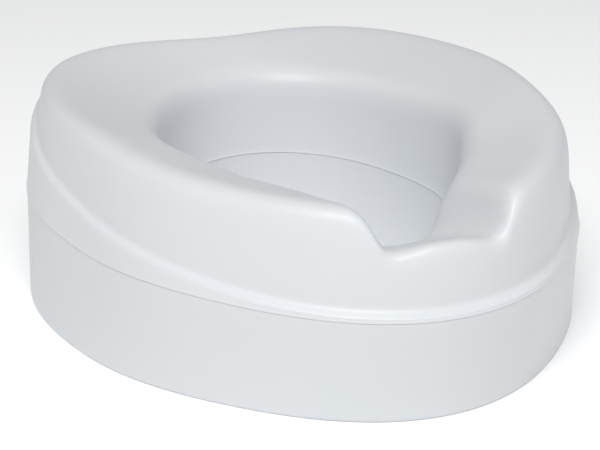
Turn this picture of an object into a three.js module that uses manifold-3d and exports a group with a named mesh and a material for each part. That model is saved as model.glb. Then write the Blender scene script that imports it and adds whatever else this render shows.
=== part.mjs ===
// Raised toilet seat: a hollow two-shell moulding with a hygiene notch, held on
// the bowl by four sliding brackets. Millimetres, +Z up, front is -Y, and the
// skirt's bottom edge lies on z = 0.
import * as THREE from "three";
import Module from "manifold-3d";

const wasm = await Module();
wasm.setup();
const { Manifold, Mesh: ManifoldMesh } = wasm;

// ---- driving dimensions ------------------------------------------------------
const SCALE = 1.04; // the curves below describe a seat 400 long
const WALL = 4; // moulded wall
const GAP = 0.3; // between pieces that touch
const DECK_Z = 42; // underside of the deck that lands on the bowl rim
const DECK_T = 4;
const COLLAR_Z = 2; // bottom of the splash collar
const COLLAR_DRAFT = 0.07; // how far the collar leans in, per mm of height

const STUD_R = 3; // M6
const STUD_HOLE_R = 3.35;
const STUD_DROP = 23; // shank below the deck
const STUD_OUT = 16.5; // shank axis from the collar's outer face
const ARM = { in: 13.6, out: 15, width: 30, thick: 5 };
const SLOT = { in: 11.3, out: 3.6, half: 3.3 };
const FINGER = { from: 10, to: 15, width: 27, bottom: 8 };
const PAD = { thick: 3.2, width: 24, low: 10, high: 30, plugR: 2.9, headR: 4.6 };
const WASHER = { r: 8, hole: 3.25, thick: 1.5 };
const NUT = { r: 9, valley: 7.9, height: 8, bore: 3.09, lobes: 8 };
const BRACKET_ANGLES = { front: 132, rear: 48 }; // from the rear, about the opening
const RIM_PAD = { r: 13, thick: 4, stem: 3.1, hole: 3.4, headR: 5.2, headT: 2.4 };

// Cosine series of the plan curves and heights; the angle runs from the rear.
const OUTLINE = [188.58, -22.8, 13.6, -12.38, -1.72, -4.99, -0.97, -1.7, 0.11];
const OUTLINE_Y = 37; // centre the outline is measured from
const PLAN_SHIFT = 2.071; // puts the whole seat's box in the middle
const OPENING = [104.79, 5.3, 15.36, -0.92, 3.96, -0.6];
const CREST_INSET = [11.9, 2.16, -3.43, 1.32];
const SKIRT_TUCK = [1.285, -4.06, 2.8, -1.43, 0.83];
const SEAM = { outer: [68.56, 6.08], frontRise: 1.5, inner: [57.5, 2.64] };
const SHOULDER = {
  // height, and the share of the lean that is below it, by degrees from the rear
  z: [
    [0, 117.3], [45, 116.9], [55, 115.6], [65, 112.6], [75, 107.4], [85, 101], [95, 95.6], [105, 91.4],
    [115, 87.1], [125, 82.2], [135, 77.3], [145, 72.9], [155, 69.4], [165, 67.4], [180, 66.4],
  ],
  below: [[0, 0.85], [50, 0.85], [70, 0.72], [90, 0.55], [105, 0.42], [120, 0.35], [180, 0.35]],
  step: 5,
  rise: 3.5,
  lean: 1.3,
};
const FLARE = 2; // the opening is this much wider at its rolled edge
const SIDE_FLAT = { at: 1.2, width: 0.32, seam: 1.8, foot: 1 }; // flatter sides, behind the middle
const FORE_FLAT = { at: 1.96, width: 0.3, seam: 3.2, drop: 2.7, shoulder: 0.69 }; // and in front of it
const CREST_Z = [135.39, 2.8, -2.26, 0.95, 0.54, -0.08];
const DISH = [18.62, 1.1, -0.64]; // fall from the crest to the opening's edge
const ROUND = { shoulder: 3, crest: 21.5, opening: 16, lip: 14, lipIn: 12 };
// Notch: height of the outer lip and of the opening's edge, by distance from the middle
const LIP = [
  [0, 109.6], [10, 108.9], [18, 107.2], [25, 105.2], [30, 104.3], [33.5, 105.2],
  [36.8, 108.2], [39.6, 113], [42, 118.4], [44.4, 123.2], [47.6, 127], [52.5, 129.3], [60, 130],
];
const SILL = [
  [0, 79], [10, 79.1], [19, 80.2], [25, 83.2], [29.5, 89.5], [33.8, 98], [38.5, 105],
  [45, 109.8], [53, 112.4], [62, 113.6],
];

// ---- curves ------------------------------------------------------------------
const series = (c, a) => c.reduce((s, v, k) => s + v * Math.cos(k * a), 0);
const smooth = (t) => {
  t = Math.min(Math.max(t, 0), 1);
  return t * t * (3 - 2 * t);
};
// Monotone cubic through a table, flat at its ends
function table(pts, x) {
  const n = pts.length;
  if (x <= pts[0][0]) return pts[0][1];
  if (x >= pts[n - 1][0]) return pts[n - 1][1];
  const d = [];
  for (let i = 0; i < n - 1; i++)
    d.push((pts[i + 1][1] - pts[i][1]) / (pts[i + 1][0] - pts[i][0]));
  const m = [0];
  for (let i = 1; i < n - 1; i++)
    m.push(d[i - 1] * d[i] <= 0 ? 0 : (2 * d[i - 1] * d[i]) / (d[i - 1] + d[i]));
  m.push(0);
  let i = 0;
  while (x > pts[i + 1][0]) i++;
  const h = pts[i + 1][0] - pts[i][0],
    t = (x - pts[i][0]) / h;
  return (
    pts[i][1] * (1 + 2 * t) * (1 - t) ** 2 +
    h * m[i] * t * (1 - t) ** 2 +
    pts[i + 1][1] * t * t * (3 - 2 * t) +
    h * m[i + 1] * t * t * (t - 1)
  );
}
// The opening's own angle for a station of the outline: stations close up round
// the notch so that a station crosses both walls of it at the same width.
const openingAngle = (a) => {
  const f = Math.PI - a;
  return Math.PI - (f + 0.85 * Math.sin(f) * Math.exp(-((f / 0.6) ** 2)));
};

const at = (r, a, y0, z) => new THREE.Vector3(r * Math.sin(a), y0 + r * Math.cos(a), z);

// The rings of the section at station a, 0..PI, before rounding. `grow` moves
// each ring into the wall by that much, for the hidden side.
function rings(a, grow = 0) {
  const g = (1 - Math.cos(a)) ** 2 / 4;
  const o = series(OUTLINE, a);
  const inset = series(CREST_INSET, a);
  const b = openingAngle(a);
  const h = series(OPENING, b);
  const deg = (a * 180) / Math.PI;
  const flat = Math.exp(-(((a - SIDE_FLAT.at) / SIDE_FLAT.width) ** 2));
  const fore = Math.exp(-(((a - FORE_FLAT.at) / FORE_FLAT.width) ** 2));
  const zSeam = SEAM.outer[0] + (SEAM.outer[1] * (OUTLINE_Y + o * Math.cos(a))) / 200 + SEAM.frontRise * g - FORE_FLAT.drop * fore;
  const zShoulder = table(SHOULDER.z, deg) - FORE_FLAT.drop * FORE_FLAT.shoulder * fore;
  const whole = inset - SHOULDER.step - SHOULDER.lean;
  const lean = Math.max(whole * table(SHOULDER.below, deg), 0.1) + FORE_FLAT.seam * FORE_FLAT.shoulder * fore;
  let zCrest = series(CREST_Z, a);
  let zEdge = zCrest - series(DISH, a);
  const gs = grow / SCALE;
  const xo = Math.max(Math.abs((o - inset) * Math.sin(a)) - gs, 0);
  const xi = Math.max(Math.abs(h * Math.sin(b)) - gs, 0);
  let notch = 0;
  if (a > Math.PI / 2) {
    const full = LIP[LIP.length - 1][1],
      fullIn = SILL[SILL.length - 1][1];
    notch = smooth((full - table(LIP, xo)) / 22);
    zCrest += table(LIP, xo) - full;
    zEdge += table(SILL, xi) - fullIn;
  }
  const P = (r, ang, y0, z) => at(r, ang, y0 + PLAN_SHIFT, z).multiplyScalar(SCALE);
  return {
    notch,
    foot: P(o - series(SKIRT_TUCK, a) - SIDE_FLAT.foot * flat - gs, a, OUTLINE_Y, 0),
    seam: P(o - SIDE_FLAT.seam * flat - FORE_FLAT.seam * fore - gs, a, OUTLINE_Y, zSeam),
    shoulderLow: P(o - lean - gs, a, OUTLINE_Y, zShoulder - 0.6 * gs),
    shoulderHigh: P(o - lean - SHOULDER.step - gs, a, OUTLINE_Y, zShoulder + SHOULDER.rise - 0.6 * gs),
    crest: P(o - inset - gs, a, OUTLINE_Y, zCrest - gs),
    edge: P(h + FLARE + gs, b, 0, zEdge - gs),
    sill: P(h - 2 + gs, b, 0, SEAM.inner[0] + (SEAM.inner[1] * h * Math.cos(b)) / 100),
    collar: (z) => {
      const top = SEAM.inner[0] + (SEAM.inner[1] * h * Math.cos(b)) / 100;
      return P(h - 2 + gs - COLLAR_DRAFT * (top - z / SCALE), b, 0, z / SCALE);
    },
  };
}

function rounded(list, n) {
  // list: [point, setback]; a quadratic fillet at each point that has a setback
  const out = [];
  list.forEach(([p, s, k = n], i) => {
    if (!s) {
      out.push(p.clone());
      return;
    }
    const a = list[i - 1][0], c = list[i + 1][0];
    const la = p.distanceTo(a), lc = p.distanceTo(c);
    const q0 = p.clone().lerp(a, Math.min(s, la * 0.48) / la);
    const q2 = p.clone().lerp(c, Math.min(s, lc * 0.48) / lc);
    for (let j = 0; j <= k; j++) {
      const t = j / k;
      out.push(
        q0.clone().multiplyScalar((1 - t) ** 2)
          .add(p.clone().multiplyScalar(2 * t * (1 - t)))
          .add(q2.clone().multiplyScalar(t * t)),
      );
    }
  });
  return out;
}

// ---- meshes ------------------------------------------------------------------
function stations() {
  // half of them, from the rear to the front, closer round the notch
  const half = [];
  for (let i = 0; i < 27; i++) half.push((i / 27) * (Math.PI - 0.56));
  for (const f of [0.56, 0.48, 0.4, 0.33, 0.285, 0.25, 0.225, 0.208, 0.195, 0.183, 0.171, 0.158, 0.142, 0.12, 0.09, 0.045])
    half.push(Math.PI - f);
  half.push(Math.PI);
  return half;
}

function sweep(section) {
  const half = stations();
  const loops = half.map((a) => section(a));
  for (let i = half.length - 2; i > 0; i--)
    loops.push(loops[i].map((p) => new THREE.Vector3(-p.x, p.y, p.z)));
  const m = loops[0].length, n = loops.length;
  const pos = [], idx = [];
  loops.forEach((l) => l.forEach((p) => pos.push(p.x, p.y, p.z)));
  for (let i = 0; i < n; i++)
    for (let j = 0; j < m; j++) {
      const a = i * m + j, b = i * m + ((j + 1) % m),
        c = ((i + 1) % n) * m + j, d = ((i + 1) % n) * m + ((j + 1) % m);
      idx.push(a, c, b, b, c, d);
    }
  const g = new THREE.BufferGeometry();
  g.setAttribute("position", new THREE.Float32BufferAttribute(pos, 3));
  g.setIndex(idx);
  return g;
}

function weld(geometry) {
  // vertices merged by place, as manifold-3d wants them
  const p = geometry.getAttribute("position"), ix = geometry.index;
  const seen = new Map(), verts = [], map = [];
  for (let i = 0; i < p.count; i++) {
    const k = [p.getX(i), p.getY(i), p.getZ(i)].map((v) => Math.round(v * 1e4)).join();
    if (!seen.has(k)) {
      seen.set(k, verts.length / 3);
      verts.push(p.getX(i), p.getY(i), p.getZ(i));
    }
    map.push(seen.get(k));
  }
  const tris = [];
  const count = ix ? ix.count : p.count;
  for (let i = 0; i < count; i += 3) {
    const t = [0, 1, 2].map((j) => map[ix ? ix.getX(i + j) : i + j]);
    if (t[0] !== t[1] && t[1] !== t[2] && t[0] !== t[2]) tris.push(...t);
  }
  return { verts: new Float32Array(verts), tris: new Uint32Array(tris) };
}
const solid = (geometry) => {
  const { verts, tris } = weld(geometry);
  let s = new Manifold(new ManifoldMesh({ numProp: 3, vertProperties: verts, triVerts: tris }));
  if (s.volume() < 0) {
    for (let i = 0; i < tris.length; i += 3) [tris[i], tris[i + 1]] = [tris[i + 1], tris[i]];
    s = new Manifold(new ManifoldMesh({ numProp: 3, vertProperties: verts, triVerts: tris }));
  }
  return s;
};
const geometryOf = (s) => {
  const m = s.getMesh(), g = new THREE.BufferGeometry(), v = [];
  for (let i = 0; i < m.numVert; i++)
    v.push(m.vertProperties[i * m.numProp], m.vertProperties[i * m.numProp + 1], m.vertProperties[i * m.numProp + 2]);
  g.setAttribute("position", new THREE.Float32BufferAttribute(v, 3));
  g.setIndex([...m.triVerts]);
  const flat = g.toNonIndexed();
  flat.computeVertexNormals();
  return flat;
};
const cylinder = (r, z0, z1, x = 0, y = 0, n = 32) => {
  const g = new THREE.CylinderGeometry(r, r, z1 - z0, n);
  g.rotateX(Math.PI / 2);
  g.translate(x, y, (z0 + z1) / 2);
  return solid(g);
};
const box = (x0, x1, y0, y1, z0, z1) => {
  const g = new THREE.BoxGeometry(x1 - x0, y1 - y0, z1 - z0);
  g.translate((x0 + x1) / 2, (y0 + y1) / 2, (z0 + z1) / 2);
  return solid(g);
};
// A shape in the U-V plane, pushed up from z0 to z1
const prism = (shape, z0, z1, segments = 8) => {
  const g = new THREE.ExtrudeGeometry(shape, { depth: z1 - z0, bevelEnabled: false, curveSegments: segments });
  g.translate(0, 0, z0);
  return solid(g);
};
const lathe = (points, n = 32) => {
  const g = new THREE.LatheGeometry(points.map(([r, z]) => new THREE.Vector2(r, z)), n);
  g.rotateX(Math.PI / 2); // the lathe's axis from +Y to +Z
  return solid(g);
};
const roundedRect = (u0, u1, v0, v1, r) => {
  const s = new THREE.Shape();
  s.moveTo(u0 + r, v0);
  s.lineTo(u1 - r, v0);
  s.absarc(u1 - r, v0 + r, r, -Math.PI / 2, 0);
  s.lineTo(u1, v1 - r);
  s.absarc(u1 - r, v1 - r, r, 0, Math.PI / 2);
  s.lineTo(u0 + r, v1);
  s.absarc(u0 + r, v1 - r, r, Math.PI / 2, Math.PI);
  s.lineTo(u0, v0 + r);
  s.absarc(u0 + r, v0 + r, r, Math.PI, Math.PI * 1.5);
  return s;
};

// ---- materials ---------------------------------------------------------------
const finish = {
  moulding: new THREE.MeshStandardMaterial({ color: 0xdfe3e6, roughness: 0.42, metalness: 0 }),
  lower: new THREE.MeshStandardMaterial({ color: 0xd9dde0, roughness: 0.45, metalness: 0 }),
  bracket: new THREE.MeshStandardMaterial({ color: 0xb9bec3, roughness: 0.5, metalness: 0 }),
  rubber: new THREE.MeshStandardMaterial({ color: 0x4a4d50, roughness: 0.85, metalness: 0 }),
  steel: new THREE.MeshStandardMaterial({ color: 0xa9adb2, roughness: 0.35, metalness: 1 }),
  knob: new THREE.MeshStandardMaterial({ color: 0x6f7880, roughness: 0.5, metalness: 0 }),
};

const seat = new THREE.Group();
function add(name, s, material, parent = seat) {
  const mesh = new THREE.Mesh(geometryOf(s), material);
  mesh.name = name;
  parent.add(mesh);
  return mesh;
}

// ---- the two shells ----------------------------------------------------------
const topShell = solid(
  sweep((a) => {
    const o = rings(a), u = rings(a, WALL), w = o.notch;
    const up = (p) => p.clone().setZ(p.z + GAP / 2);
    const outer = rounded(
      [
        [up(o.seam), 0],
        [o.shoulderLow, ROUND.shoulder, 2],
        [o.shoulderHigh, ROUND.shoulder, 2],
        [o.crest, (ROUND.crest + (ROUND.lip - ROUND.crest) * w) * SCALE, 6],
        [o.edge, (ROUND.opening + (ROUND.lipIn - ROUND.opening) * w) * SCALE, 6],
        [up(o.sill), 0],
      ],
    );
    const inner = rounded(
      [
        [up(u.seam), 0],
        [u.shoulderLow, 0],
        [u.shoulderHigh, 0],
        [u.crest, (ROUND.crest - 4 + (ROUND.lip - ROUND.crest) * w) * SCALE, 4],
        [u.edge, (ROUND.opening - 4 + (ROUND.lipIn - ROUND.opening) * w) * SCALE, 4],
        [up(u.sill), 0],
      ],
    );
    return [...outer, ...inner.reverse()];
  }),
);

const openingRadius = (deg) => (series(OPENING, (deg * Math.PI) / 180) - 2) * SCALE;
const brackets = [];
for (const [end, deg] of Object.entries(BRACKET_ANGLES))
  for (const [side, sign] of [["left", -1], ["right", 1]]) {
    const a = (deg * Math.PI) / 180;
    const r = openingRadius(deg) + WALL + STUD_OUT;
    brackets.push({
      name: `${end}_${side}`,
      x: sign * r * Math.sin(a),
      y: r * Math.cos(a) + PLAN_SHIFT * SCALE,
      turn: Math.atan2(Math.cos(a), sign * Math.sin(a)), // U axis points away from the opening
    });
  }
const rimPads = [
  { name: "front", x: 0, y: -176 },
  { name: "rear", x: 0, y: 168 },
  { name: "left", x: -149, y: 18 },
  { name: "right", x: 149, y: 18 },
];

let baseShell = solid(
  sweep((a) => {
    const o = rings(a), u = rings(a, WALL);
    const down = (p) => p.clone().setZ(p.z - GAP / 2);
    const skirt = (r, z) => r.foot.clone().lerp(r.seam, z / r.seam.z);
    return [
      down(o.seam),
      skirt(o, 3),
      skirt(o, 0).lerp(u.foot, 0.16),
      skirt(u, 0),
      skirt(u, DECK_Z),
      u.collar(DECK_Z),
      u.collar(COLLAR_Z),
      o.collar(COLLAR_Z),
      down(o.sill),
      down(u.sill),
      u.collar(DECK_Z + DECK_T),
      skirt(u, DECK_Z + DECK_T),
      down(u.seam),
    ];
  }),
);
for (const b of brackets)
  baseShell = baseShell.subtract(cylinder(STUD_HOLE_R, DECK_Z - 1, DECK_Z + DECK_T + 1, b.x, b.y));
for (const p of rimPads)
  baseShell = baseShell.subtract(cylinder(RIM_PAD.hole, DECK_Z - 1, DECK_Z + DECK_T + 1, p.x, p.y));

add("seat_top_shell", topShell, finish.moulding);
add("seat_base_shell", baseShell, finish.lower);

// ---- rim pads ----------------------------------------------------------------
for (const p of rimPads) {
  const z0 = DECK_Z - GAP, zt = DECK_Z + DECK_T + GAP;
  const pad = lathe([
    [0, z0 - RIM_PAD.thick],
    [RIM_PAD.r - 1.2, z0 - RIM_PAD.thick],
    [RIM_PAD.r, z0 - RIM_PAD.thick + 1.2],
    [RIM_PAD.r, z0],
    [RIM_PAD.stem, z0],
    [RIM_PAD.stem, zt],
    [RIM_PAD.headR, zt],
    [RIM_PAD.headR - 1.6, zt + RIM_PAD.headT],
    [0, zt + RIM_PAD.headT],
  ]);
  const m = add(`rim_pad_${p.name}`, pad, finish.rubber);
  m.position.set(p.x, p.y, 0);
}

// ---- brackets and their fasteners ---------------------------------------------
const armTop = DECK_Z - GAP, armLow = armTop - ARM.thick;
const washerTop = armLow - GAP, washerLow = washerTop - WASHER.thick;
const nutTop = washerLow - GAP, nutLow = nutTop - NUT.height;

function bracketSolid() {
  let s = prism(roundedRect(-ARM.in, ARM.out, -ARM.width / 2, ARM.width / 2, 5), armLow, armTop);
  s = s.add(box(FINGER.from, FINGER.to, -FINGER.width / 2, FINGER.width / 2, FINGER.bottom + 4, armLow + 1));
  // the finger's rounded end
  const end = new THREE.Shape();
  end.moveTo(-FINGER.width / 2, 0);
  end.lineTo(FINGER.width / 2, 0);
  end.lineTo(FINGER.width / 2, -1.5);
  end.quadraticCurveTo(FINGER.width / 2, -4, FINGER.width / 2 - 5, -4);
  end.lineTo(-FINGER.width / 2 + 5, -4);
  end.quadraticCurveTo(-FINGER.width / 2, -4, -FINGER.width / 2, -1.5);
  end.closePath();
  const g = new THREE.ExtrudeGeometry(end, { depth: FINGER.to - FINGER.from, bevelEnabled: false, curveSegments: 5 });
  // shape X -> V, shape Y -> Z, depth -> U
  g.applyMatrix4(new THREE.Matrix4().makeBasis(new THREE.Vector3(0, 1, 0), new THREE.Vector3(0, 0, 1), new THREE.Vector3(1, 0, 0)));
  g.translate(FINGER.from, 0, FINGER.bottom + 4.01);
  s = s.add(solid(g));
  // two gussets behind the finger, clear of the nut
  for (const v of [-FINGER.width / 2, FINGER.width / 2 - 3]) {
    const web = new THREE.Shape();
    web.moveTo(FINGER.from + 0.5, armLow + 0.5);
    web.lineTo(FINGER.from - 7, armLow + 0.5);
    web.lineTo(FINGER.from + 0.5, armLow - 12);
    web.closePath();
    const w = new THREE.ExtrudeGeometry(web, { depth: 3, bevelEnabled: false });
    // shape X -> U, shape Y -> Z, depth -> -V
    w.applyMatrix4(new THREE.Matrix4().makeBasis(new THREE.Vector3(1, 0, 0), new THREE.Vector3(0, 0, 1), new THREE.Vector3(0, -1, 0)));
    w.translate(0, v + 3, 0);
    s = s.add(solid(w));
  }
  s = s.subtract(prism(roundedRect(-SLOT.in, SLOT.out, -SLOT.half, SLOT.half, SLOT.half - 0.01), armLow - 1, armTop + 1, 10));
  const hole = new THREE.CylinderGeometry(PAD.plugR + 0.3, PAD.plugR + 0.3, 12, 24);
  hole.rotateZ(Math.PI / 2);
  hole.translate((FINGER.from + FINGER.to) / 2, 0, 18);
  return s.subtract(solid(hole));
}

function gripPadSolid() {
  const face = FINGER.to + GAP, out = face + PAD.thick - 1;
  let s = box(face, out, -PAD.width / 2, PAD.width / 2, PAD.low, PAD.high);
  for (let i = 0; i < 4; i++) {
    const z = PAD.low + 2.5 + i * 5;
    const rib = new THREE.CylinderGeometry(1, 1, PAD.width - 3, 12);
    rib.translate(out, 0, z);
    s = s.add(solid(rib));
  }
  const turned = (r, u0, u1) => {
    const g = new THREE.CylinderGeometry(r, r, u1 - u0, 24);
    g.rotateZ(Math.PI / 2);
    g.translate((u0 + u1) / 2, 0, 18);
    return solid(g);
  };
  return s
    .add(turned(PAD.plugR, FINGER.from - GAP - 0.5, face + 0.5))
    .add(turned(PAD.headR, FINGER.from - GAP - 1.4, FINGER.from - GAP));
}

function studSolid() {
  const top = DECK_Z + DECK_T + GAP, low = DECK_Z - STUD_DROP;
  const shank = lathe([
    [0, low],
    [STUD_R - 0.8, low],
    [STUD_R, low + 0.8],
    [STUD_R, top],
    [9, top],
    [9, top + 2],
    [0, top + 2],
  ]);
  return shank.add(box(-5, 5, -5, 5, top + 1.5, top + 6));
}

const washerSolid = () =>
  lathe([
    [WASHER.hole, washerLow],
    [WASHER.r, washerLow],
    [WASHER.r, washerTop],
    [WASHER.hole, washerTop],
    [WASHER.hole, washerLow],
  ]);

function nutSolid() {
  const s = new THREE.Shape();
  const n = NUT.lobes * 8;
  for (let i = 0; i <= n; i++) {
    const a = (i / n) * Math.PI * 2;
    const r = NUT.valley + (NUT.r - NUT.valley) * (0.5 + 0.5 * Math.cos(a * NUT.lobes));
    if (i === 0) s.moveTo(r, 0);
    else if (i < n) s.lineTo(r * Math.cos(a), r * Math.sin(a));
  }
  s.closePath();
  return prism(s, nutLow, nutTop - 1.5)
    .add(cylinder(6.6, nutTop - 2, nutTop))
    .subtract(cylinder(NUT.bore, nutLow - 1, nutTop + 1));
}

for (const b of brackets) {
  const station = new THREE.Group();
  station.position.set(b.x, b.y, 0);
  station.rotation.z = b.turn;
  seat.add(station);
  add(`bracket_stud_${b.name}`, studSolid(), finish.steel, station);
  add(`bracket_${b.name}`, bracketSolid(), finish.bracket, station);
  add(`grip_pad_${b.name}`, gripPadSolid(), finish.rubber, station);
  add(`washer_${b.name}`, washerSolid(), finish.steel, station);
  add(`thumb_nut_${b.name}`, nutSolid(), finish.knob, station);
}

export default seat;
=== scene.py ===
"""Raised toilet seat: the looks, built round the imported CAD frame. Metres, +Z up, front is -Y."""

import math

import bpy
import numpy as np
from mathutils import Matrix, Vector


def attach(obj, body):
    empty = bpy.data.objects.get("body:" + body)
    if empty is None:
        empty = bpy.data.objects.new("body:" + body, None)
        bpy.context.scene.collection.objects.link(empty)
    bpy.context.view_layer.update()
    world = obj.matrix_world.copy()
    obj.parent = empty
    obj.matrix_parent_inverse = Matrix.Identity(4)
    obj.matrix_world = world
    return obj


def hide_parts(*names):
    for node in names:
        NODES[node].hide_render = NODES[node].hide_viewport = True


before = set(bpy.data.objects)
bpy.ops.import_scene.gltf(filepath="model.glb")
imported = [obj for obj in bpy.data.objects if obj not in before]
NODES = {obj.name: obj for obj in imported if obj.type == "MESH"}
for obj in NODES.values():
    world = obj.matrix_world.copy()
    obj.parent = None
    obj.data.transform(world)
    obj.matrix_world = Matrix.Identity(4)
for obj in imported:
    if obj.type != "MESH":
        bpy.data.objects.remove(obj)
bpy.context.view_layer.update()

# ---- the same driving dimensions as the CAD ----------------------------------
SCALE = 1.04
WALL = 4.0
GAP = 0.3
DECK_Z = 42.0
DECK_T = 4.0
COLLAR_Z = 2.0
COLLAR_DRAFT = 0.07
OUTLINE = [188.58, -22.8, 13.6, -12.38, -1.72, -4.99, -0.97, -1.7, 0.11]
OUTLINE_Y = 37.0
PLAN_SHIFT = 2.071
OPENING = [104.79, 5.3, 15.36, -0.92, 3.96, -0.6]
CREST_INSET = [11.9, 2.16, -3.43, 1.32]
SKIRT_TUCK = [1.285, -4.06, 2.8, -1.43, 0.83]
SEAM_OUT = [68.56, 6.08]
SEAM_FRONT = 1.5
SEAM_IN = [57.5, 2.64]
SHOULDER_Z = [
    [0, 117.3], [45, 116.9], [55, 115.6], [65, 112.6], [75, 107.4], [85, 101], [95, 95.6], [105, 91.4],
    [115, 87.1], [125, 82.2], [135, 77.3], [145, 72.9], [155, 69.4], [165, 67.4], [180, 66.4],
]
LEAN_BELOW = [[0, 0.85], [50, 0.85], [70, 0.72], [90, 0.55], [105, 0.42], [120, 0.35], [180, 0.35]]
SHOULDER_STEP = 5.0
SHOULDER_RISE = 3.5
SHOULDER_LEAN = 1.3
CREST_Z = [135.39, 2.8, -2.26, 0.95, 0.54, -0.08]
DISH = [18.62, 1.1, -0.64]
R_SHOULDER, R_CREST, R_OPENING, R_LIP, R_LIPIN = 3.0, 21.5, 16.0, 14.0, 12.0
FLARE = 2.0  # how much wider the opening is at its rolled edge
LIP = [
    [0, 109.6], [10, 108.9], [18, 107.2], [25, 105.2], [30, 104.3], [33.5, 105.2],
    [36.8, 108.2], [39.6, 113], [42, 118.4], [44.4, 123.2], [47.6, 127], [52.5, 129.3], [60, 130],
]
SILL = [
    [0, 79], [10, 79.1], [19, 80.2], [25, 83.2], [29.5, 89.5], [33.8, 98], [38.5, 105],
    [45, 109.8], [53, 112.4], [62, 113.6],
]


def series(c, a):
    return sum(v * np.cos(k * a) for k, v in enumerate(c))


def smooth(t):
    t = np.clip(t, 0, 1)
    return t * t * (3 - 2 * t)


def table(pts, x):
    """Monotone cubic through a table, flat at its ends."""
    p = np.array(pts, float)
    d = np.diff(p[:, 1]) / np.diff(p[:, 0])
    m = np.zeros(len(p))
    for i in range(1, len(p) - 1):
        m[i] = 0 if d[i - 1] * d[i] <= 0 else 2 * d[i - 1] * d[i] / (d[i - 1] + d[i])
    x = np.clip(x, p[0, 0], p[-1, 0])
    i = np.clip(np.searchsorted(p[:, 0], x, side="left") - 1, 0, len(p) - 2)
    h = p[i + 1, 0] - p[i, 0]
    t = (x - p[i, 0]) / h
    return (
        p[i, 1] * (1 + 2 * t) * (1 - t) ** 2
        + h * m[i] * t * (1 - t) ** 2
        + p[i + 1, 1] * t * t * (3 - 2 * t)
        + h * m[i + 1] * t * t * (t - 1)
    )


def opening_angle(a):
    f = math.pi - a
    return math.pi - (f + 0.85 * np.sin(f) * np.exp(-((f / 0.6) ** 2)))


def at(r, a, y0, z):
    return np.stack([r * np.sin(a), y0 + PLAN_SHIFT + r * np.cos(a), z + 0 * a], -1) * SCALE


def rings(a, grow=0.0):
    """The section's corner points at stations a, from the rear (0) to the front (pi), in mm."""
    g = (1 - np.cos(a)) ** 2 / 4
    o = series(OUTLINE, a)
    inset = series(CREST_INSET, a)
    b = opening_angle(a)
    h = series(OPENING, b)
    deg = np.degrees(a)
    flat = np.exp(-(((a - 1.2) / 0.32) ** 2))  # the sides are a little flatter behind the middle
    fore = np.exp(-(((a - 1.96) / 0.3) ** 2))  # and in front of it
    z_seam = SEAM_OUT[0] + SEAM_OUT[1] * (OUTLINE_Y + o * np.cos(a)) / 200 + SEAM_FRONT * g - 2.7 * fore
    z_sh = table(SHOULDER_Z, deg) - 2.7 * 0.69 * fore
    lean = inset - SHOULDER_STEP - SHOULDER_LEAN
    lean = np.maximum(lean * table(LEAN_BELOW, deg), 0.1) + 3.2 * 0.69 * fore
    z_crest = series(CREST_Z, a)
    z_edge = z_crest - series(DISH, a)
    gs = grow / SCALE
    xo = np.maximum(np.abs((o - inset) * np.sin(a)) - gs, 0)
    xi = np.maximum(np.abs(h * np.sin(b)) - gs, 0)
    front = a > math.pi / 2
    full, full_in = LIP[-1][1], SILL[-1][1]
    lip, sill = table(LIP, xo), table(SILL, xi)
    notch = np.where(front, smooth((full - lip) / 22), 0)
    z_crest = z_crest + np.where(front, lip - full, 0)
    z_edge = z_edge + np.where(front, sill - full_in, 0)
    z_in = SEAM_IN[0] + SEAM_IN[1] * h * np.cos(b) / 100
    return {
        "notch": notch,
        "foot": at(o - series(SKIRT_TUCK, a) - 1.0 * flat - gs, a, OUTLINE_Y, 0),
        "seam": at(o - 1.8 * flat - 3.2 * fore - gs, a, OUTLINE_Y, z_seam),
        "low": at(o - lean - gs, a, OUTLINE_Y, z_sh - 0.6 * gs),
        "high": at(o - lean - SHOULDER_STEP - gs, a, OUTLINE_Y, z_sh + SHOULDER_RISE - 0.6 * gs),
        "crest": at(o - inset - gs, a, OUTLINE_Y, z_crest - gs),
        "edge": at(h + FLARE + gs, b, 0, z_edge - gs),
        "sill": at(h - 2 + gs, b, 0, z_in),
        "collar": lambda z: at(h - 2 + gs - COLLAR_DRAFT * (z_in - z / SCALE), b, 0, z / SCALE),
        "out": np.stack([np.sin(a), np.cos(a), 0 * a], -1),
        "out_in": np.stack([np.sin(b), np.cos(b), 0 * b], -1),
    }


def rounded(rows):
    """rows: (points, setback, steps) or (points, 0, a third value that is not used).
    Rounds every corner that has a setback, and divides the straights between."""
    out = []
    ends = []  # (first, last) row of each corner
    for i, row in enumerate(rows):
        p, s, n = row
        if isinstance(s, (int, float)) and s == 0:
            ends.append([p])
            continue
        a, c = rows[i - 1][0], rows[i + 1][0]
        la = np.linalg.norm(a - p, axis=1, keepdims=True)
        lc = np.linalg.norm(c - p, axis=1, keepdims=True)
        s = np.broadcast_to(np.asarray(s, float), (len(p),))[:, None]
        q0 = p + (a - p) / la * np.minimum(s * 1.3, la * 0.49)
        q2 = p + (c - p) / lc * np.minimum(s * 1.3, lc * 0.49)
        arc = []
        for j in range(n + 1):
            t = j / n
            w = 1 - t
            arc.append(
                q0 * w**4
                + (q0 + p) * 2 * w**3 * t
                + p * 6 * w * w * t * t
                + (p + q2) * 2 * w * t**3
                + q2 * t**4
            )
        ends.append(arc)
    for i, arc in enumerate(ends):
        out.extend(arc)
        if i + 1 < len(ends):
            a, b = arc[-1], ends[i + 1][0]
            gap = float(np.linalg.norm(a - b, axis=1).max())
            for k in range(1, int(min(gap // 7, 9)) + 1):
                out.append(a + (b - a) * k / (int(min(gap // 7, 9)) + 1))
    return out


def stations():
    tight = np.arange(0, 0.32, 0.0045)
    wide = np.linspace(0.32, math.pi, 150)
    return np.sort(math.pi - np.concatenate([tight, wide]))


# The dense surface bulges a hair past the CAD facets, so it is held inside their box
FIT = np.array([0.9988, 0.9976, 0.9968])


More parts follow.
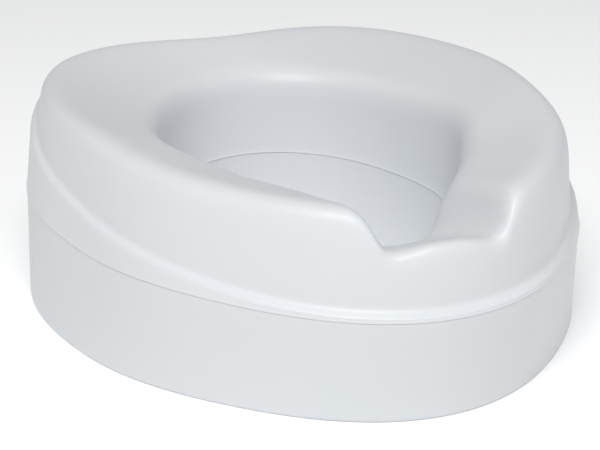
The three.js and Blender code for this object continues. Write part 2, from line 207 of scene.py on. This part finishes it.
def sweep(name, loop):
    """loop: list of (stations, 3) rows of one closed section, stations from rear to front; mirrored to the other side."""
    half = np.stack(loop, 1) / 1000.0
    other = half[1:-1][::-1] * np.array([-1, 1, 1])
    grid = np.concatenate([half, other], 0) * FIT
    n, m = grid.shape[:2]
    i = np.arange(n)[:, None]
    j = np.arange(m)[None, :]
    quads = np.stack(
        [i * m + j, ((i + 1) % n) * m + j + 0 * i, ((i + 1) % n) * m + (j + 1) % m, i * m + (j + 1) % m], -1
    ).reshape(-1, 4)
    v = grid.reshape(-1, 3)
    p = v[quads]
    volume = np.einsum("ij,ij->i", p[:, 0], np.cross(p[:, 1], p[:, 2]) + np.cross(p[:, 2], p[:, 3])).sum()
    if volume < 0:
        quads = quads[:, ::-1]
    mesh = bpy.data.meshes.new(name)
    mesh.from_pydata(v.tolist(), [], quads.tolist())
    mesh.update()
    mesh.shade_smooth()
    mesh.set_sharp_from_angle(angle=math.radians(50))
    ob = bpy.data.objects.new(name, mesh)
    bpy.context.scene.collection.objects.link(ob)
    return ob


def lift(p, dz):
    return p + np.array([0, 0, dz])


A = stations()


def bead(base, out):
    """A fine raised parting line that stands on the shell's lower edge."""
    steps = [(-0.6, -0.13), (0.05, -0.13), (0.36, 0.02), (0.46, 0.35), (0.38, 0.75), (0.16, 1.15), (0.0, 1.7)]
    return [(base + out * dx + np.array([0, 0, dz]), 0, 0) for dx, dz in steps]


def make_upper():
    o, u = rings(A), rings(A, WALL)
    w = o["notch"]
    seam, sill = lift(o["seam"], GAP / 2), lift(o["sill"], GAP / 2)
    outer = rounded(
        bead(seam, o["out"])
        + [
            (o["low"], R_SHOULDER, 6),
            (o["high"], R_SHOULDER, 6),
            (o["crest"], (R_CREST + (R_LIP - R_CREST) * w) * SCALE, 18),
            (o["edge"], (R_OPENING + (R_LIPIN - R_OPENING) * w) * SCALE, 18),
        ]
        + bead(sill, -o["out_in"])[::-1]
    )
    inner = rounded(
        [
            (lift(u["seam"], GAP / 2), 0, 0),
            (u["low"], 0, 0),
            (u["high"], 0, 0),
            (u["crest"], (R_CREST - 4 + (R_LIP - R_CREST) * w) * SCALE, 8),
            (u["edge"], (R_OPENING - 4 + (R_LIPIN - R_OPENING) * w) * SCALE, 8),
            (lift(u["sill"], GAP / 2), 0, 0),
        ]
    )
    return sweep("seat_upper", outer + inner[::-1])


def make_lower():
    o, u = rings(A), rings(A, WALL)

    def skirt(r, z):
        return r["foot"] + (r["seam"] - r["foot"]) * (z / r["seam"][:, 2:3])

    def down(p, dz=0.0):
        return lift(p, -GAP / 2 - dz)

    def inset(p, d, r="out"):
        return p - o[r] * d

    rows = [
        (inset(down(o["seam"], -0.13), 0.6), 0, 0),
        (inset(down(o["seam"], -0.1), 0.1), 0, 0),
        (down(o["seam"], 0.25), 0, 0),
        (down(o["seam"], 0.9), 0, 0),
        (skirt(o, 0), 2.2, 5),
        (skirt(u, 0), 1.1, 3),
        (skirt(u, DECK_Z), 2.5, 4),
        (u["collar"](DECK_Z), 2.5, 4),
        (u["collar"](COLLAR_Z), 1.2, 3),
        (o["collar"](COLLAR_Z), 1.2, 3),
        (lift(o["sill"], -GAP / 2 - 0.9), 0, 0),
        (lift(o["sill"], -GAP / 2 - 0.25), 0, 0),
        (lift(o["sill"], -GAP / 2 + 0.1) + o["out_in"] * 0.1, 0, 0),
        (lift(o["sill"], -GAP / 2 + 0.13) + o["out_in"] * 0.6, 0, 0),
        (down(u["sill"]), 0, 0),
        (u["collar"](DECK_Z + DECK_T), 2.0, 3),
        (skirt(u, DECK_Z + DECK_T), 2.0, 3),
        (down(u["seam"]), 0, 0),
    ]
    return sweep("seat_lower", rounded(rows))


# ---- materials ---------------------------------------------------------------
def new_material(name):
    m = bpy.data.materials.new(name)
    m.use_nodes = True
    nt = m.node_tree
    nt.nodes.clear()
    out = nt.nodes.new("ShaderNodeOutputMaterial")
    bsdf = nt.nodes.new("ShaderNodeBsdfPrincipled")
    nt.links.new(bsdf.outputs[0], out.inputs[0])
    coord = nt.nodes.new("ShaderNodeTexCoord")
    return m, nt, bsdf, coord.outputs["Object"]


def noise(nt, vec, scale, detail=3.0, rough=0.5, stretch=None):
    n = nt.nodes.new("ShaderNodeTexNoise")
    n.inputs["Scale"].default_value = scale
    n.inputs["Detail"].default_value = detail
    n.inputs["Roughness"].default_value = rough
    if stretch:
        mp = nt.nodes.new("ShaderNodeMapping")
        mp.inputs["Scale"].default_value = stretch
        nt.links.new(vec, mp.inputs["Vector"])
        vec = mp.outputs[0]
    nt.links.new(vec, n.inputs["Vector"])
    return n.outputs["Fac"]


def ramp(nt, fac, stops):
    r = nt.nodes.new("ShaderNodeValToRGB")
    r.color_ramp.elements[0].position, r.color_ramp.elements[0].color = stops[0][0], (*stops[0][1], 1)
    r.color_ramp.elements[1].position, r.color_ramp.elements[1].color = stops[-1][0], (*stops[-1][1], 1)
    for p, c in stops[1:-1]:
        r.color_ramp.elements.new(p).color = (*c, 1)
    nt.links.new(fac, r.inputs[0])
    return r.outputs[0]


def remap(nt, fac, lo, hi, a=0.3, b=0.7):
    r = nt.nodes.new("ShaderNodeMapRange")
    r.inputs["From Min"].default_value, r.inputs["From Max"].default_value = a, b
    r.inputs["To Min"].default_value, r.inputs["To Max"].default_value = lo, hi
    nt.links.new(fac, r.inputs["Value"])
    return r.outputs[0]


def bump(nt, bsdf, heights):
    """heights: (socket, distance in metres, strength), laid one on another."""
    last = None
    for h, dist, strength in heights:
        b = nt.nodes.new("ShaderNodeBump")
        b.inputs["Distance"].default_value = dist
        b.inputs["Strength"].default_value = strength
        nt.links.new(h, b.inputs["Height"])
        if last:
            nt.links.new(last, b.inputs["Normal"])
        last = b.outputs[0]
    nt.links.new(last, bsdf.inputs["Normal"])


def moulded_white(name, tint=1.0):
    m, nt, bsdf, co = new_material(name)
    t = tint
    cloud = noise(nt, co, 7.0, 2.0, 0.5)
    nt.links.new(
        ramp(nt, cloud, [(0.3, (0.645 * t, 0.668 * t, 0.684 * t)), (0.7, (0.668 * t, 0.682 * t, 0.700 * t))]),
        bsdf.inputs["Base Color"],
    )
    nt.links.new(remap(nt, noise(nt, co, 60.0, 4.0, 0.6), 0.36, 0.46), bsdf.inputs["Roughness"])
    bsdf.inputs["IOR"].default_value = 1.5
    bsdf.inputs["Specular IOR Level"].default_value = 0.35
    bsdf.inputs["Coat Weight"].default_value = 0.08
    bsdf.inputs["Coat Roughness"].default_value = 0.35
    bump(
        nt,
        bsdf,
        [
            (noise(nt, co, 28.0, 1.0, 0.4), 0.0006, 0.12),
            (noise(nt, co, 1500.0, 2.0, 0.6), 0.00004, 0.25),
        ],
    )
    return m


def bracket_grey():
    m, nt, bsdf, co = new_material("bracket_grey")
    nt.links.new(
        ramp(nt, noise(nt, co, 45.0, 3.0), [(0.3, (0.40, 0.43, 0.46)), (0.7, (0.47, 0.50, 0.53))]),
        bsdf.inputs["Base Color"],
    )
    nt.links.new(remap(nt, noise(nt, co, 220.0, 3.0), 0.42, 0.56), bsdf.inputs["Roughness"])
    bump(nt, bsdf, [(noise(nt, co, 2600.0, 2.0, 0.7), 0.00005, 0.5)])
    return m


def knob_dark():
    m, nt, bsdf, co = new_material("knob_dark")
    nt.links.new(
        ramp(nt, noise(nt, co, 80.0, 3.0), [(0.3, (0.085, 0.105, 0.125)), (0.7, (0.12, 0.14, 0.165))]),
        bsdf.inputs["Base Color"],
    )
    nt.links.new(remap(nt, noise(nt, co, 400.0, 3.0), 0.36, 0.5), bsdf.inputs["Roughness"])
    bump(nt, bsdf, [(noise(nt, co, 3200.0, 2.0, 0.7), 0.00004, 0.5)])
    return m


def rubber_black():
    m, nt, bsdf, co = new_material("rubber_black")
    nt.links.new(
        ramp(nt, noise(nt, co, 120.0, 5.0, 0.65), [(0.3, (0.035, 0.037, 0.04)), (0.7, (0.062, 0.064, 0.068))]),
        bsdf.inputs["Base Color"],
    )
    nt.links.new(remap(nt, noise(nt, co, 500.0, 4.0), 0.72, 0.9), bsdf.inputs["Roughness"])
    bump(nt, bsdf, [(noise(nt, co, 1800.0, 4.0, 0.7), 0.0001, 0.6)])
    return m


def zinc():
    m, nt, bsdf, co = new_material("zinc_steel")
    v = nt.nodes.new("ShaderNodeTexVoronoi")
    v.inputs["Scale"].default_value = 420.0
    nt.links.new(co, v.inputs["Vector"])
    nt.links.new(
        ramp(nt, v.outputs["Distance"], [(0.1, (0.52, 0.53, 0.55)), (0.8, (0.66, 0.67, 0.69))]),
        bsdf.inputs["Base Color"],
    )
    bsdf.inputs["Metallic"].default_value = 1.0
    nt.links.new(remap(nt, noise(nt, co, 700.0, 4.0), 0.26, 0.42), bsdf.inputs["Roughness"])
    bump(nt, bsdf, [(noise(nt, co, 1500.0, 2.0, stretch=(1, 1, 0.2)), 0.00004, 0.4)])
    return m


WHITE = moulded_white("moulded_white")
# the same white made 1.5% darker for the lower shell: painted shade on the skirt
WHITE_PAINTED_SHADE = moulded_white("moulded_white_painted_shade", 0.985)
GREY, DARK, RUBBER, ZINC = bracket_grey(), knob_dark(), rubber_black(), zinc()


def dress(ob, mat):
    ob.data.materials.clear()
    ob.data.materials.append(mat)


# ---- the two shells ----------------------------------------------------------
upper = make_upper()
dress(upper, WHITE)
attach(upper, "seat")
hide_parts("seat_top_shell")

lower = make_lower()
# the skirt wears the darker copy of the white: painted shade
dress(lower, WHITE_PAINTED_SHADE)
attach(lower, "seat")
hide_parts("seat_base_shell")

# ---- hardware: CAD nodes, with their edges broken and real finishes -----------
FINISH = (("bracket_stud_", ZINC), ("bracket_", GREY), ("grip_pad_", RUBBER), ("rim_pad_", RUBBER), ("washer_", ZINC), ("thumb_nut_", DARK))
for name, ob in NODES.items():
    for start, mat in FINISH:
        if name.startswith(start):
            dress(ob, mat)
            flat = ob.modifiers.new("one_face_a_plane", "DECIMATE")
            flat.decimate_type = "DISSOLVE"
            flat.angle_limit = math.radians(1.0)
            edge = ob.modifiers.new("broken_edges", "BEVEL")
            edge.width = 0.0003 if mat is ZINC else 0.0005
            edge.segments = 2
            edge.limit_method = "ANGLE"
            edge.angle_limit = math.radians(35)
            edge.harden_normals = False
            for p in ob.data.polygons:
                p.use_smooth = False
            break

# ---- floor, light and camera --------------------------------------------------
floor_mesh = bpy.data.meshes.new("floor")
floor_mesh.from_pydata([(-6, -6, 0), (6, -6, 0), (6, 6, 0), (-6, 6, 0)], [], [(0, 1, 2, 3)])
floor = bpy.data.objects.new("floor", floor_mesh)
bpy.context.scene.collection.objects.link(floor)
floor.location.z = -0.0002
fm, fnt, fb, fco = new_material("floor_pale")
fnt.links.new(ramp(fnt, noise(fnt, fco, 1.5, 2.0), [(0.3, (0.93, 0.93, 0.93)), (0.7, (0.95, 0.95, 0.95))]), fb.inputs["Base Color"])
fb.inputs["Roughness"].default_value = 0.9
fb.inputs["Specular IOR Level"].default_value = 0.1
fb.inputs["Emission Color"].default_value = (1, 1, 1, 1)
fb.inputs["Emission Strength"].default_value = 0.1
dress(floor, fm)

scene = bpy.context.scene
world = bpy.data.worlds.new("studio")
scene.world = world
world.use_nodes = True
bg = world.node_tree.nodes["Background"]
bg.inputs[0].default_value = (0.97, 0.985, 1.0, 1)
bg.inputs[1].default_value = 0.36


def area(name, where, to, size, power, colour=(1, 1, 1)):
    light = bpy.data.lights.new(name, "AREA")
    light.shape = "DISK"
    light.size = size
    light.energy = power
    light.color = colour
    ob = bpy.data.objects.new(name, light)
    scene.collection.objects.link(ob)
    ob.location = where
    ob.rotation_euler = (Vector(to) - Vector(where)).to_track_quat("-Z", "Y").to_euler()
    return ob


MID = Vector((0, 0, 0.07))


def around(az, el, dist):
    a, e = math.radians(az), math.radians(el)
    return MID + Vector((math.sin(a) * math.cos(e), -math.cos(a) * math.cos(e), math.sin(e))) * dist


area("key", around(-30, 54, 3.2), MID, 2.2, 84)
area("fill", around(62, 30, 3.0), MID, 2.0, 6)

AZ, EL, DIST, FOCAL_PX, TX, TY = -22.32, 19.24, 1.14604 * SCALE, 1775.39, 13.2, -22.23
a, e = math.radians(AZ), math.radians(EL)
back = Vector((math.sin(a) * math.cos(e), -math.cos(a) * math.cos(e), math.sin(e)))
right = Vector((math.cos(a), math.sin(a), 0))
up = back.cross(right)
eye = back * DIST + Vector((0, PLAN_SHIFT * SCALE / 1000, 0.065 * SCALE))
look = -back + right * (-TX / FOCAL_PX) + up * (TY / FOCAL_PX)
cam_data = bpy.data.cameras.new("camera")
cam_data.sensor_width = 36.0
cam_data.lens = FOCAL_PX / 600 * 36.0
cam_data.clip_end = 50
cam = bpy.data.objects.new("camera", cam_data)
scene.collection.objects.link(cam)
cam.location = eye
cam.rotation_euler = look.to_track_quat("-Z", "Y").to_euler()
scene.camera = cam
scene.view_settings.view_transform = "Standard"
